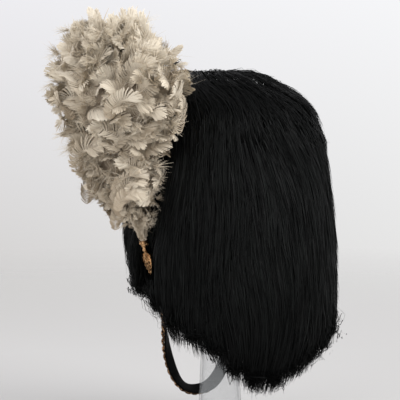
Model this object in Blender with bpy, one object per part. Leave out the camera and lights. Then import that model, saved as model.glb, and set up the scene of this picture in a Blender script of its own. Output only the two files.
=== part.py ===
"""A bearskin hat with a feather plume, on a plain clear stand. Metres, +Z up.

The wearer faces -Y and the wearer's left, the plume's side, is +X. The stand's axis is the Z axis,
and its base rests on z = 0. An angle runs from +X (0) by the back (90) to the wearer's right (180).
"""

import math
import random
from collections import namedtuple

import bmesh
import bpy
from mathutils import Vector

# Fur
FUR_HEIGHT = 0.437  # lowest lock of the hem to the top
FUR_LENGTH = 0.340  # front to back
FUR_WIDTH = 0.282
HEM_CLEARANCE = 0.064  # lowest lock above the surface that the stand rests on
FUR_BACKSET = 0.017  # the fur's middle behind the stand's axis
CROWN_LEAN = 0.023  # the crown's middle in front of the fur's middle
CROWN_FUR = 0.033  # fur standing on the crown
LOCK_COUNT = 30  # locks round the hat
LOCK_RELIEF = 0.006  # a tier's lip over the tier below
LOCK_RIDGE = 0.005  # a lock's back over the parting beside it
LOCK_TIP = 0.016  # how far a lock's tip hangs below the parting
LIP_DEPTH = 0.003  # height of the step under a tier's lip
TIER_MIDDLE = 0.45  # a tier's middle row, as a share of its height
TIER_SWELL = 0.6  # how far it has swelled there
HEM_INSIDE = 0.4  # the hem's inner edge, as a share of the way from the wall to the locks
HEM_RISE = 0.008  # the hem's inner edge above its lock tips
LEAST_FUR = 0.004  # fur left over the wall where the plume presses it
SWEEP = 0.45  # radians by which the crown's locks are combed backwards

# Wall of hide over its frame
HEAD_LENGTH = 0.208  # inside, at the rim, with room for a lining
HEAD_WIDTH = 0.176
WALL_THICKNESS = 0.0025
RIM_FRONT = 0.222  # the rim's height over the brow
RIM_BACK = 0.135  # and at the nape
WALL_COLUMNS = 26
SKIN_GAP = 0.0005
GAP = 0.0003  # between pieces that touch

# Plume
PLUME_HEIGHT = 0.323
PLUME_WIDTH = 0.207
PLUME_CORE = 0.74  # the core as a share of the plume's outline
CORE_TOP = 0.93  # the core's height as a share of the plume's
PLUME_CLEARANCE = 0.0030
PLUME_COLUMNS = 12
TUFT_COUNT = 46
TUFT_WIDTH = 0.040
TUFT_THICKNESS = 0.012
TUFT_REACH = 0.012  # a tuft's tip past the outline
TUFT_DROOP = 0.014
TUFT_RISE = 1.05  # a low tuft's rise for each metre outwards
TUFT_TOP_RISE = 3.5
TUFT_ROOT = 0.52  # where it starts, as a share of the outline
TUFT_LOWEST = 0.06  # levels of the lowest and highest tufts
TUFT_HIGHEST = 0.96
TUFT_CROWDING = 0.85  # under 1 sets more of them high up
TUFT_TUCK = 0.86  # length of those that lie against the fur
TUFT_FUR_SHARE = 0.90  # where their tips end, as a share of the outline
TUFT_SINK = 0.96  # keeps the highest roots inside the core
TUFT_LEAST = 0.35  # a tuft's size where the plume is thinnest
TUFT_GROWTH = 2.2  # and how fast it grows with the plume
TUFT_STRAY = (0.5, 1.2)  # range of a tip's reach, as shares of TUFT_REACH
TUFT_SPREAD = (0.8, 1.15)  # range of the widths, as shares of TUFT_WIDTH

# Plume socket
SOCKET_OUT = 0.122  # its mouth from the stand's axis, to the wearer's left
SOCKET_FORWARD = 0.018
SOCKET_HEIGHT = 0.2655
SOCKET_LEAN = 0.17  # how far it leans in for each metre down
SOCKET_TURN = 0.10  # and back
CUP_DIAMETER = 0.0115
CUP_DEPTH = 0.0100
WAIST_DIAMETER = 0.0048
BEAD_DIAMETER = 0.0066
LEAF_LENGTH = 0.029
LEAF_WIDTH = 0.0135
LEAF_THICKNESS = 0.0070
PIN_DIAMETER = 0.0050
PIN_LEVEL = 0.0190  # the pin below the socket's mouth
PIN_CLEARANCE = 0.0004
PIN_SIDES = 12
SOCKET_SIDES = 14
SLOT_WIDTH = 0.025  # parting of the fur round the socket
SLOT_FLOOR = 0.012  # its floor behind the socket's axis
SLOT_OVER = 0.022  # its top over the socket's mouth
SLOT_SEGMENTS = 10

# Chin strap and its chain
STRAP_WIDTH = 0.0180
STRAP_THICKNESS = 0.0024
STRAP_FORWARD = 0.047  # in front of the stand's axis
STRAP_HALF = 0.060  # half the loop's width
STRAP_LOW = 0.0475  # middle of the band at its lowest
STRAP_BEND = 0.100  # height of the loop's round part
STRAP_FULLNESS = 0.80  # power of the loop's width: 1 is an ellipse, less is squarer
STRAP_TAB = 0.024  # the band's ends inside the rim
STRAP_SAMPLES = 30
STRAP_TURN = 3.0  # how fast the band turns from the wall's direction to the front
STRAP_SIDEWAYS = 0.22
STRAP_AHEAD = 0.75
STRAP_DOWNWARD = 1.05
STRAP_EASE = 0.45  # where the band leaves the rim, as a share of the way from the loop to the wall
CHAIN_WIDTH = 0.0160
CHAIN_WIRE = 0.0027
CHAIN_PITCH = 0.0105
CHAIN_TOP = 0.188  # the highest link
CHAIN_GAP = 0.0007  # between the links and the band, which twists under them
CHAIN_PRESS = 0.83  # distance of two wires that meet, in wire diameters
LINK_SLACK = 0.20  # extra length of a link's eye, in wire diameters
LINK_SIDES = 10
WIRE_SIDES = 5

# Stand
BASE_DIAMETER = 0.200
BASE_THICKNESS = 0.010
BASE_ROUNDING = 0.0015
POST_DIAMETER = 0.050
POST_FOOT_DIAMETER = 0.062
POST_FLARE_HEIGHT = 0.150
POST_WALL = 0.003
TOP_DIAMETER = 0.072
TOP_THICKNESS = 0.006
STAND_SIDES = 32

# Fur outline: height as a share of FUR_HEIGHT, reaches as shares of half of FUR_LENGTH or FUR_WIDTH
FurSection = namedtuple("FurSection", "level front back side")
FUR_SECTIONS = [
    FurSection(0.000, 0.60, 0.88, 0.90),
    FurSection(0.156, 0.62, 0.985, 0.985),
    FurSection(0.292, 0.66, 1.00, 1.00),
    FurSection(0.350, 0.74, 1.00, 1.00),
    FurSection(0.406, 0.87, 1.00, 1.00),
    FurSection(0.469, 0.95, 1.00, 1.00),
    FurSection(0.540, 1.00, 0.97, 0.99),
    FurSection(0.609, 1.00, 0.935, 0.98),
    FurSection(0.730, 1.00, 0.876, 0.943),
    FurSection(0.839, 0.95, 0.844, 0.887),
    FurSection(0.890, 0.88, 0.747, 0.787),
    FurSection(0.938, 0.78, 0.641, 0.674),
    FurSection(0.984, 0.58, 0.353, 0.411),
    FurSection(1.000, 0.38, 0.130, 0.180),
]

# Hem: how high the lock tips hang above the lowest one, as a share of FUR_HEIGHT
HemPoint = namedtuple("HemPoint", "angle rise")
HEM = [
    HemPoint(-90, 0.298),
    HemPoint(-45, 0.294),
    HemPoint(-10, 0.290),
    HemPoint(0, 0.250),
    HemPoint(10, 0.196),
    HemPoint(20, 0.161),
    HemPoint(30, 0.134),
    HemPoint(40, 0.092),
    HemPoint(50, 0.031),
    HemPoint(60, 0.004),
    HemPoint(70, 0.000),
    HemPoint(80, 0.029),
    HemPoint(90, 0.067),
    HemPoint(110, 0.120),
    HemPoint(130, 0.179),
    HemPoint(150, 0.190),
    HemPoint(170, 0.215),
    HemPoint(185, 0.270),
    HemPoint(200, 0.294),
    HemPoint(270, 0.306),
]

# Tiers of locks: each tier's lower edge as a share of the height from the hem to the top
TIERS = [0.94, 0.80, 0.62, 0.42, 0.21, 0.0]

# Wall: height from the rim to the crown, sizes as shares of HEAD_LENGTH and HEAD_WIDTH
WallSection = namedtuple("WallSection", "level length width")
WALL_SECTIONS = [
    WallSection(0.00, 1.00, 1.00),
    WallSection(0.16, 1.05, 1.04),
    WallSection(0.42, 1.15, 1.14),
    WallSection(0.66, 1.14, 1.12),
    WallSection(0.82, 1.04, 1.00),
    WallSection(0.92, 0.86, 0.82),
    WallSection(0.975, 0.66, 0.66),
    WallSection(1.00, 0.50, 0.52),
]

# Plume outline: height as a share of PLUME_HEIGHT, the rest as shares of PLUME_WIDTH
PlumeSection = namedtuple("PlumeSection", "level out back across along")
PLUME_SECTIONS = [
    PlumeSection(0.000, 0.00, 0.00, 0.035, 0.035),
    PlumeSection(0.100, 0.07, 0.01, 0.135, 0.188),
    PlumeSection(0.207, 0.18, 0.02, 0.213, 0.317),
    PlumeSection(0.353, 0.24, 0.03, 0.261, 0.372),
    PlumeSection(0.467, 0.26, 0.05, 0.319, 0.502),
    PlumeSection(0.598, 0.28, 0.06, 0.367, 0.604),
    PlumeSection(0.706, 0.30, 0.06, 0.386, 0.628),
    PlumeSection(0.771, 0.30, 0.06, 0.367, 0.560),
    PlumeSection(0.836, 0.33, 0.06, 0.300, 0.454),
    PlumeSection(0.900, 0.35, 0.06, 0.222, 0.329),
    PlumeSection(0.966, 0.32, 0.06, 0.145, 0.222),
    PlumeSection(1.000, 0.30, 0.06, 0.060, 0.085),
]

# Tuft: place along its length, then shares of its width and thickness
TuftStation = namedtuple("TuftStation", "along wide thick")
TUFT_STATIONS = [
    TuftStation(0.00, 0.45, 0.90),
    TuftStation(0.55, 1.00, 1.00),
    TuftStation(0.86, 0.85, 0.60),
    TuftStation(1.00, 0.35, 0.25),
]

# Leaf boss: place down its length and half width, as shares; the lobes stand out at the edge
LeafSection = namedtuple("LeafSection", "down width depth")
LEAF_SECTIONS = [
    LeafSection(0.00, 0.30, 0.45),
    LeafSection(0.12, 0.78, 0.80),
    LeafSection(0.20, 0.70, 0.88),
    LeafSection(0.32, 1.00, 1.00),
    LeafSection(0.42, 0.84, 0.95),
    LeafSection(0.55, 0.82, 0.85),
    LeafSection(0.66, 0.60, 0.70),
    LeafSection(0.82, 0.34, 0.50),
    LeafSection(1.00, 0.08, 0.20),
]
LEAF_COLUMNS = 10


def mix(first, second, share):
    return first + (second - first) * share


def read(table, at):
    """The row of a table at this value of its first column, worked out between its rows."""
    if at <= table[0][0]:
        return table[0]
    for below, above in zip(table, table[1:]):
        if at <= above[0]:
            share = (at - below[0]) / (above[0] - below[0])
            return type(below)(*(mix(a, b, share) for a, b in zip(below, above)))
    return table[-1]


def material(name, colour, roughness, metallic=0.0, transmission=0.0):
    made = bpy.data.materials.new(name)
    made.use_nodes = True
    shader = made.node_tree.nodes["Principled BSDF"]
    shader.inputs["Base Color"].default_value = (*colour, 1.0)
    shader.inputs["Roughness"].default_value = roughness
    shader.inputs["Metallic"].default_value = metallic
    shader.inputs["Transmission Weight"].default_value = transmission
    made.diffuse_color = (*colour, 1.0)
    return made


def add_object(name, shape, look=None, smooth_angle=40):
    """Makes an object from a bmesh, with its faces turned outwards."""
    bmesh.ops.recalc_face_normals(shape, faces=shape.faces)
    mesh = bpy.data.meshes.new(name)
    shape.to_mesh(mesh)
    shape.free()
    mesh.shade_smooth()
    mesh.set_sharp_from_angle(angle=math.radians(smooth_angle))
    made = bpy.data.objects.new(name, mesh)
    bpy.context.scene.collection.objects.link(made)
    if look:
        mesh.materials.append(look)
    return made


def add_helper(name, shape):
    made = add_object(name, shape)
    made.hide_render = True
    made.display_type = "WIRE"
    return made


def boolean(target, helper, operation, overlapping=False):
    cut = target.modifiers.new(helper.name, "BOOLEAN")
    cut.object = helper
    cut.operation = operation
    cut.solver = "EXACT"
    cut.use_self = overlapping


def loft(shape, rings, end_caps=True):
    """Joins rings of points, each with as many as the next, and closes both ends."""
    rows = [[shape.verts.new(point) for point in ring] for ring in rings]
    count = len(rows[0])
    for low, high in zip(rows, rows[1:]):
        for i in range(count):
            j = (i + 1) % count
            shape.faces.new((low[i], low[j], high[j], high[i]))
    if end_caps:
        shape.faces.new(rows[0])
        shape.faces.new(rows[-1])
    return rows


def turned(shape, profile, sides):
    """A body turned round Z from (radius, height) points, with flat ends."""
    rings = []
    for radius, height in profile:
        ring = []
        for i in range(sides):
            angle = math.tau * i / sides
            ring.append(Vector((radius * math.cos(angle), radius * math.sin(angle), height)))
        rings.append(ring)
    return loft(shape, rings)


# Heights that several pieces share
fur_top = HEM_CLEARANCE + FUR_HEIGHT
crown_inside = fur_top - CROWN_FUR - WALL_THICKNESS
crown_middle = FUR_BACKSET - CROWN_LEAN


def rim_height(y):
    """The rim is a slanting plane from the brow to the nape."""
    share = (y - FUR_BACKSET) / HEAD_LENGTH + 0.5
    return mix(RIM_FRONT, RIM_BACK, share)


def wall_point(level, angle, offset):
    """A point of the wall's inner face, moved outwards by the offset."""
    section = read(WALL_SECTIONS, level)
    x = (HEAD_WIDTH / 2 * section.width + offset) * math.cos(angle)
    along = (HEAD_LENGTH / 2 * section.length + offset) * math.sin(angle)
    y = mix(FUR_BACKSET, crown_middle, level) + along
    rim = rim_height(FUR_BACKSET + HEAD_LENGTH / 2 * math.sin(angle))
    return Vector((x, y, mix(rim, crown_inside, level) + offset * level))


def wall_ring(level, offset, columns):
    return [wall_point(level, math.tau * i / columns, offset) for i in range(columns)]


def wall_side(y, z, offset):
    """The wall's half width at this height and place from front to back."""
    level = (z - rim_height(y)) / (crown_inside - rim_height(y))
    section = read(WALL_SECTIONS, level)
    along = (y - mix(FUR_BACKSET, crown_middle, level)) / (HEAD_LENGTH / 2 * section.length + offset)
    return (HEAD_WIDTH / 2 * section.width + offset) * math.sqrt(1 - along * along)


def cap_wall():
    shape = bmesh.new()
    inner = [wall_ring(row.level, 0.0, WALL_COLUMNS) for row in reversed(WALL_SECTIONS)]
    outer = [wall_ring(row.level, WALL_THICKNESS, WALL_COLUMNS) for row in WALL_SECTIONS]
    loft(shape, inner + outer)
    look = material("hide", (0.035, 0.028, 0.022), 0.85)
    return add_object("cap_wall", shape, look)


def plume_outline(z):
    """Middle and half sizes of the plume at this height."""
    row = read(PLUME_SECTIONS, (z - plume_foot) / PLUME_HEIGHT)
    middle = Vector((SOCKET_OUT + row.out * PLUME_WIDTH, row.back * PLUME_WIDTH - SOCKET_FORWARD, z))
    return middle, row.across * PLUME_WIDTH, row.along * PLUME_WIDTH


plume_foot = SOCKET_HEIGHT + GAP
plume_tip = plume_foot + PLUME_HEIGHT


def under_plume(point):
    if not plume_foot <= point.z <= plume_tip:
        return False
    middle, across, along = plume_outline(point.z)
    back = (point.y - middle.y) / (along + PLUME_CLEARANCE)
    if abs(back) >= 1:
        return False
    return point.x > middle.x - (across + PLUME_CLEARANCE) * math.sqrt(1 - back * back)


def fur_outline(angle, z, swell):
    """A point of the fur's outer face. The plume presses the fur in where it leans on it."""
    section = read(FUR_SECTIONS, (z - HEM_CLEARANCE) / FUR_HEIGHT)
    reach = section.back if math.sin(angle) > 0 else section.front
    x = (FUR_WIDTH / 2 * section.side + swell) * math.cos(angle)
    along = (FUR_LENGTH / 2 * reach + swell) * math.sin(angle)
    free = Vector((x, FUR_BACKSET + along, z))
    if not under_plume(free):
        return free
    middle = Vector((0.0, FUR_BACKSET, z))
    side = wall_side(min(max(free.y, -FUR_LENGTH / 4), FUR_LENGTH / 4), z, WALL_THICKNESS + LEAST_FUR)
    inner, outer = min(1.0, side / max(free.x, side)), 1.0
    for _ in range(14):
        share = (inner + outer) / 2
        if under_plume(mix(middle, free, share)):
            outer = share
        else:
            inner = share
    return mix(middle, free, inner)


def hem_height(angle):
    degrees = (math.degrees(angle) + 90) % 360 - 90
    return HEM_CLEARANCE + FUR_HEIGHT * read(HEM, degrees).rise


def fur_rings():
    """Rings of the fur's outer face, from the hem up: each tier of locks ends in a lip with tips."""
    columns = 2 * LOCK_COUNT
    rows = []
    tops = [1.0] + TIERS[:-1]
    for low, top in reversed(list(zip(TIERS, tops))):
        rows.append((low, 0.0, 1.0))
        rows.append((mix(low, top, TIER_MIDDLE), 0.0, TIER_SWELL))
        rows.append((top, -LIP_DEPTH, 0.0))
    rings = []
    for share, lowered, swelling in rows:
        ring = []
        for i in range(columns):
            start = math.tau * i / columns
            angle = start - SWEEP * share * share * math.cos(start)
            ridge = 0.5 if i % 2 == 0 else -0.5
            edge = share in TIERS or lowered < 0
            tip = LOCK_TIP * ridge if edge and share < 1 else 0.0
            swell = LOCK_RELIEF * (swelling - 1) + LOCK_RIDGE * (ridge - 0.5)
            swell *= 1 - share**6
            hem = hem_height(angle) + (LOCK_TIP / 2 if share == 0 else 0.0)
            height = mix(hem, fur_top, share) + lowered - tip
            ring.append(fur_outline(angle, min(height, fur_top), swell))
        rings.append(ring)
    return rings


def fur():
    shape = bmesh.new()
    columns = 2 * LOCK_COUNT
    outer = fur_rings()
    offset = WALL_THICKNESS + SKIN_GAP
    inner = [wall_ring(row.level, offset, columns) for row in WALL_SECTIONS]
    rim = inner[0]
    edge = []
    for i in range(columns):
        hem = mix(rim[i], outer[0][i], HEM_INSIDE)
        hem.z = min(hem_height(math.tau * i / columns) + HEM_RISE + LOCK_TIP / 2, rim[i].z - HEM_RISE)
        edge.append(hem)
    loft(shape, list(reversed(inner)) + [edge] + outer)
    made = add_object("fur", shape, material("black_fur", (0.012, 0.012, 0.013), 0.45), 70)

    # The parting round the socket, open towards the hem, and the hole for the socket's pin.
    parting = bmesh.new()
    floor = SOCKET_OUT - SLOT_FLOOR
    half = SLOT_WIDTH / 2
    high = SOCKET_HEIGHT + SLOT_OVER
    arch = [Vector((0, half, HEM_CLEARANCE))]
    for i in range(SLOT_SEGMENTS + 1):
        turn = math.pi * i / SLOT_SEGMENTS
        arch.append(Vector((0, half * math.cos(turn), high - half + half * math.sin(turn))))
    arch.append(Vector((0, -half, HEM_CLEARANCE)))
    low_lean = Vector((-SOCKET_LEAN, SOCKET_TURN, 0))
    back = []
    front = []
    for point in arch:
        slide = low_lean * (SOCKET_HEIGHT - point.z)
        back.append(point + slide + Vector((floor, -SOCKET_FORWARD, 0)))
        front.append(point + slide * 0.5 + Vector((FUR_WIDTH, -SOCKET_FORWARD, 0)))
    loft(parting, [back, front])
    boolean(made, add_helper("fur_parting", parting), "DIFFERENCE")
    boolean(made, add_helper("pin_hole", pin_shape(PIN_CLEARANCE, SLOT_WIDTH / 2)), "DIFFERENCE")
    return made


def socket_axis(down):
    """A point of the socket's axis, this far below its mouth."""
    x = SOCKET_OUT - SOCKET_LEAN * down
    y = SOCKET_TURN * down - SOCKET_FORWARD
    return Vector((x, y, SOCKET_HEIGHT - down))


def pin_shape(clearance, past):
    """The pin from the wall to the leaf's back, along X. A cutter is wider and runs past both ends."""
    start = socket_axis(PIN_LEVEL)
    half = PIN_DIAMETER / 2
    edges = [(start.y + side * half, start.z + up * half) for side in (-1, 1) for up in (-1, 1)]
    wall = max(wall_side(y, z, WALL_THICKNESS) for y, z in edges)
    ends = (wall + GAP - (2 * WALL_THICKNESS if clearance else 0), start.x + past * (clearance > 0))
    radius = PIN_DIAMETER / 2 + clearance
    rings = []
    for x in ends:
        ring = []
        for i in range(PIN_SIDES):
            turn = math.tau * i / PIN_SIDES
            ring.append(Vector((x, start.y + radius * math.cos(turn), start.z + radius * math.sin(turn))))
        rings.append(ring)
    shape = bmesh.new()
    loft(shape, rings)
    return shape


def plume_socket():
    look = material("gilt", (0.47, 0.31, 0.15), 0.38, 1.0)
    cup, waist, bead = CUP_DIAMETER / 2, WAIST_DIAMETER / 2, BEAD_DIAMETER / 2
    neck = CUP_DEPTH + BEAD_DIAMETER * 0.4
    profile = [
        (cup * 0.80, 0.0),
        (cup, CUP_DEPTH * 0.06),
        (cup, CUP_DEPTH * 0.16),
        (waist, CUP_DEPTH * 0.92),
        (bead, CUP_DEPTH + BEAD_DIAMETER * 0.10),
        (bead, neck),
        (waist, neck + BEAD_DIAMETER * 0.30),
        (waist, neck + BEAD_DIAMETER * 0.75),
    ]
    shape = bmesh.new()
    rings = []
    for radius, down in profile:
        middle = socket_axis(down)
        ring = []
        for i in range(SOCKET_SIDES):
            turn = math.tau * i / SOCKET_SIDES
            ring.append(middle + Vector((radius * math.cos(turn), radius * math.sin(turn), 0)))
        rings.append(ring)
    loft(shape, rings)
    made = add_object("plume_socket", shape, look)

    leaf = bmesh.new()
    leaf_top = neck + BEAD_DIAMETER * 0.25
    rings = []
    for row in LEAF_SECTIONS:
        middle = socket_axis(leaf_top + row.down * LEAF_LENGTH)
        ring = []
        for i in range(LEAF_COLUMNS):
            turn = math.tau * i / LEAF_COLUMNS
            side = LEAF_WIDTH / 2 * row.width * math.cos(turn)
            rise = LEAF_THICKNESS / 2 * row.depth * math.sin(turn)
            ring.append(middle + Vector((rise, side, 0)))
        rings.append(ring)
    loft(leaf, rings)
    boolean(made, add_helper("leaf_boss", leaf), "UNION")
    boolean(made, add_helper("socket_pin", pin_shape(0.0, 0.0)), "UNION")
    return made


def tuft(shape, root, way, across, length, droop, width, thickness):
    """One flat lock of feathers: it widens from its root and ends in a blunt, drooping tip."""
    flat = way.cross(across).normalized()
    rings = []
    for along, wide, thick in TUFT_STATIONS:
        middle = root + way * (length * along) - Vector((0, 0, droop * along**4))
        side = across * (width / 2 * wide)
        up = flat * (thickness / 2 * thick)
        rings.append([middle + side, middle + up, middle - side, middle - up])
    loft(shape, rings)


def core_height(level):
    """The core stops short of the highest tufts."""
    return plume_foot + level * PLUME_HEIGHT * mix(1.0, CORE_TOP, level)


def plume():
    look = material("cream_feather", (0.60, 0.53, 0.43), 0.8)
    shape = bmesh.new()
    rings = []
    for row in PLUME_SECTIONS:
        middle, across, along = plume_outline(plume_foot + row.level * PLUME_HEIGHT)
        share = mix(1.0, PLUME_CORE, min(1.0, row.level * 8))
        middle.z = core_height(row.level)
        ring = []
        for i in range(PLUME_COLUMNS):
            turn = math.tau * i / PLUME_COLUMNS
            offset = Vector((across * share * math.cos(turn), along * share * math.sin(turn), 0))
            ring.append(middle + offset)
        rings.append(ring)
    loft(shape, rings)
    made = add_object("plume", shape, look, 50)

    tufts = bmesh.new()
    chance = random.Random(7)
    golden = math.pi * (3 - math.sqrt(5))
    for i in range(TUFT_COUNT):
        level = mix(TUFT_LOWEST, TUFT_HIGHEST, ((i + 0.5) / TUFT_COUNT) ** TUFT_CROWDING)
        turn = golden * i
        middle, across, along = plume_outline(plume_foot + level * PLUME_HEIGHT)
        side = Vector((across * math.cos(turn), along * math.sin(turn), 0))
        outward = side.normalized()
        towards_fur = max(0.0, -outward.x)
        rise = mix(TUFT_RISE, TUFT_TOP_RISE, level**4)
        way = (outward + Vector((0, 0, rise))).normalized()
        size = min(1.0, TUFT_LEAST + across / PLUME_WIDTH * TUFT_GROWTH)
        root = middle + side * TUFT_ROOT
        root.z = core_height(level * TUFT_SINK)
        tip_share = mix(1.0, TUFT_FUR_SHARE, towards_fur)
        stray = TUFT_REACH * (1 - towards_fur) * chance.uniform(*TUFT_STRAY)
        tip = middle + side * tip_share + outward * stray
        reach = (tip - root).dot(outward) / way.dot(outward)
        if towards_fur > 0.2 and level < 0.85:
            reach *= TUFT_TUCK
        turned_across = Vector((-outward.y, outward.x, 0))
        tuft(
            tufts,
            root,
            way,
            turned_across,
            min(reach, (plume_tip - root.z) / way.z * chance.uniform(0.9, 1.0)),
            TUFT_DROOP * size * (1 - towards_fur) * (1 - level**4),
            TUFT_WIDTH * size * chance.uniform(*TUFT_SPREAD),
            TUFT_THICKNESS * size,
        )
    boolean(made, add_helper("plume_tufts", tufts), "UNION", overlapping=True)
    return made


def strap_path():
    """Points and outward directions along the band's middle, from the left tab to the right one."""
    wall_x = wall_side(-STRAP_FORWARD, rim_height(-STRAP_FORWARD), 0.0)
    behind = -STRAP_FORWARD - FUR_BACKSET
    lean = Vector((wall_x / (HEAD_WIDTH / 2) ** 2, behind / (HEAD_LENGTH / 2) ** 2))
    lean.normalize()
    hollow = STRAP_WIDTH**2 / (4 * HEAD_WIDTH) + HEAD_WIDTH / 2 * (1 - math.cos(math.pi / WALL_COLUMNS))
    inset = STRAP_THICKNESS / 2 + GAP + hollow  # the flat band's edges lie on the round wall
    rim = rim_height(-STRAP_FORWARD)
    round_middle = STRAP_LOW + STRAP_BEND
    path = []
    for i in range(STRAP_SAMPLES + 1):
        turn = mix(0.0, math.pi, i / STRAP_SAMPLES)
        side = math.copysign(1.0, math.cos(turn))
        x = STRAP_HALF * side * abs(math.cos(turn)) ** STRAP_FULLNESS
        z = round_middle - STRAP_BEND * math.sin(turn)
        low = math.sin(turn)
        sideways = side * (lean.x * (1 - low) ** STRAP_TURN + STRAP_SIDEWAYS * (1 - low * low))
        facing = Vector((sideways, -STRAP_AHEAD, -STRAP_DOWNWARD * low**3))
        path.append((Vector((x, -STRAP_FORWARD, z)), facing.normalized()))
    ends = []
    for height in (rim + STRAP_TAB, rim + STRAP_TAB / 2, rim, mix(round_middle, rim, 0.5)):
        inside = height >= rim
        x = wall_side(-STRAP_FORWARD, max(height, rim), 0.0) if inside else wall_x
        place = Vector((x, -STRAP_FORWARD, height)) - Vector((lean.x, lean.y, 0)) * inset
        if not inside:
            place = mix(path[0][0], Vector((wall_x, -STRAP_FORWARD, rim)), STRAP_EASE)
            place.z = height
        ends.append((place, Vector((lean.x, lean.y, 0.0 if inside else -0.1)).normalized()))
    mirrored = []
    for point, facing in reversed(ends):
        mirrored.append((Vector((-point.x, point.y, point.z)), Vector((-facing.x, facing.y, facing.z))))
    return ends + path + mirrored


def frames(path):
    """Each point of a path with its direction along, its outward face and its width direction."""
    made = []
    for i, (point, facing) in enumerate(path):
        before = path[max(i - 1, 0)][0]
        after = path[min(i + 1, len(path) - 1)][0]
        along = (after - before).normalized()
        across = along.cross(facing).normalized()
        made.append((point, along, across.cross(along).normalized(), across))
    return made


def chin_strap():
    shape = bmesh.new()
    rings = []
    for point, _, facing, across in frames(strap_path()):
        side = across * STRAP_WIDTH / 2
        out = facing * STRAP_THICKNESS / 2
        rings.append([point + side + out, point - side + out, point - side - out, point + side - out])
    loft(shape, rings)
    return add_object("chin_strap", shape, material("black_leather", (0.014, 0.013, 0.013), 0.5), 30)


def chain_stations():
    """Frames of the links along the band's outer face, one pitch apart, below the rim."""
    twist = CHAIN_WIRE * CHAIN_PRESS / 2
    rise = STRAP_THICKNESS / 2 + CHAIN_GAP + twist + CHAIN_WIRE / 2
    line = []
    for point, _, facing, _ in frames(strap_path()):
        if point.z <= CHAIN_TOP:
            line.append((point + facing * rise, facing))
    lengths = [0.0]
    for (first, _), (second, _) in zip(line, line[1:]):
        lengths.append(lengths[-1] + (second - first).length)
    count = math.floor(lengths[-1] / CHAIN_PITCH)
    stations = []
    for i in range(count):
        at = (i + 0.5) * lengths[-1] / count
        k = max(j for j in range(len(lengths) - 1) if lengths[j] <= at)
        share = (at - lengths[k]) / (lengths[k + 1] - lengths[k])
        (low, first), (high, second) = line[k], line[k + 1]
        along = (high - low).normalized()
        facing = mix(first, second, share).normalized()
        across = along.cross(facing).normalized()
        stations.append((mix(low, high, share), along, across.cross(along), across))
    return stations, lengths[-1] / count, twist


def add_link(shape, station, pitch, twist):
    """One link of a curb chain: a twisted oval, whose ends cross over and under its neighbours."""
    middle, along, facing, across = station
    half_long = (pitch + CHAIN_WIRE * (1 + LINK_SLACK)) / 2
    half_wide = (CHAIN_WIDTH - CHAIN_WIRE) / 2

    def place(turn):
        return (
            middle
            + along * (half_long * math.cos(turn))
            + across * (half_wide * math.sin(turn))
            + facing * (twist * math.sin(2 * turn))
        )

    rings = []
    for i in range(LINK_SIDES):
        turn = math.tau * (i + 0.5) / LINK_SIDES
        centre = place(turn)
        way = (place(turn + 0.01) - place(turn - 0.01)).normalized()
        out = (centre - middle).normalized()
        up = way.cross(out).normalized()
        out = up.cross(way)
        ring = []
        for j in range(WIRE_SIDES):
            spin = math.tau * j / WIRE_SIDES
            ring.append(centre + (out * math.cos(spin) + up * math.sin(spin)) * (CHAIN_WIRE / 2))
        rings.append(ring)
    rows = loft(shape, rings, end_caps=False)
    for j in range(WIRE_SIDES):
        k = (j + 1) % WIRE_SIDES
        shape.faces.new((rows[-1][j], rows[-1][k], rows[0][k], rows[0][j]))


def curb_chain():
    stations, pitch, twist = chain_stations()
    even, odd = bmesh.new(), bmesh.new()
    for i, station in enumerate(stations):
        add_link(odd if i % 2 else even, station, pitch, twist)
    made = add_object("curb_chain", even, material("bronze", (0.22, 0.13, 0.06), 0.35, 1.0), 60)
    boolean(made, add_helper("odd_links", odd), "UNION")
    return made


def stand():
    look = material("clear_acrylic", (0.95, 0.97, 0.97), 0.03, 0.0, 1.0)
    base = bmesh.new()
    half = BASE_DIAMETER / 2
    profile = [
        (half, 0),
        (half, BASE_THICKNESS - BASE_ROUNDING),
        (half - BASE_ROUNDING, BASE_THICKNESS),
    ]
    turned(base, profile, STAND_SIDES)
    add_object("stand_base", base, look)

    top = bmesh.new()
    top_high = crown_inside - GAP
    top_low = top_high - TOP_THICKNESS
    turned(top, [(TOP_DIAMETER / 2, top_low), (TOP_DIAMETER / 2, top_high)], STAND_SIDES)
    add_object("stand_top", top, look)

    post = bmesh.new()
    foot, straight = POST_FOOT_DIAMETER / 2, POST_DIAMETER / 2
    low, flare, high = BASE_THICKNESS + GAP, POST_FLARE_HEIGHT, top_low - GAP
    outline = [(foot, low), (straight, flare), (straight, high)]
    inside = [(radius - POST_WALL, height) for radius, height in reversed(outline)]
    rings = []
    for radius, height in outline + inside:
        ring = []
        for i in range(STAND_SIDES):
            turn = math.tau * i / STAND_SIDES
            ring.append(Vector((radius * math.cos(turn), radius * math.sin(turn), height)))
        rings.append(ring)
    loft(post, rings + rings[:1], end_caps=False)
    bmesh.ops.remove_doubles(post, verts=post.verts, dist=1e-6)
    add_object("stand_post", post, look)


def clear_scene():
    for old in list(bpy.data.objects):
        bpy.data.objects.remove(old, do_unlink=True)


def main():
    clear_scene()
    cap_wall()
    fur()
    plume()
    plume_socket()
    chin_strap()
    curb_chain()
    stand()


main()
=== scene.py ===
import math

import bmesh
import bpy
import numpy as np
from mathutils import Matrix, Vector
from mathutils.bvhtree import BVHTree


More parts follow.
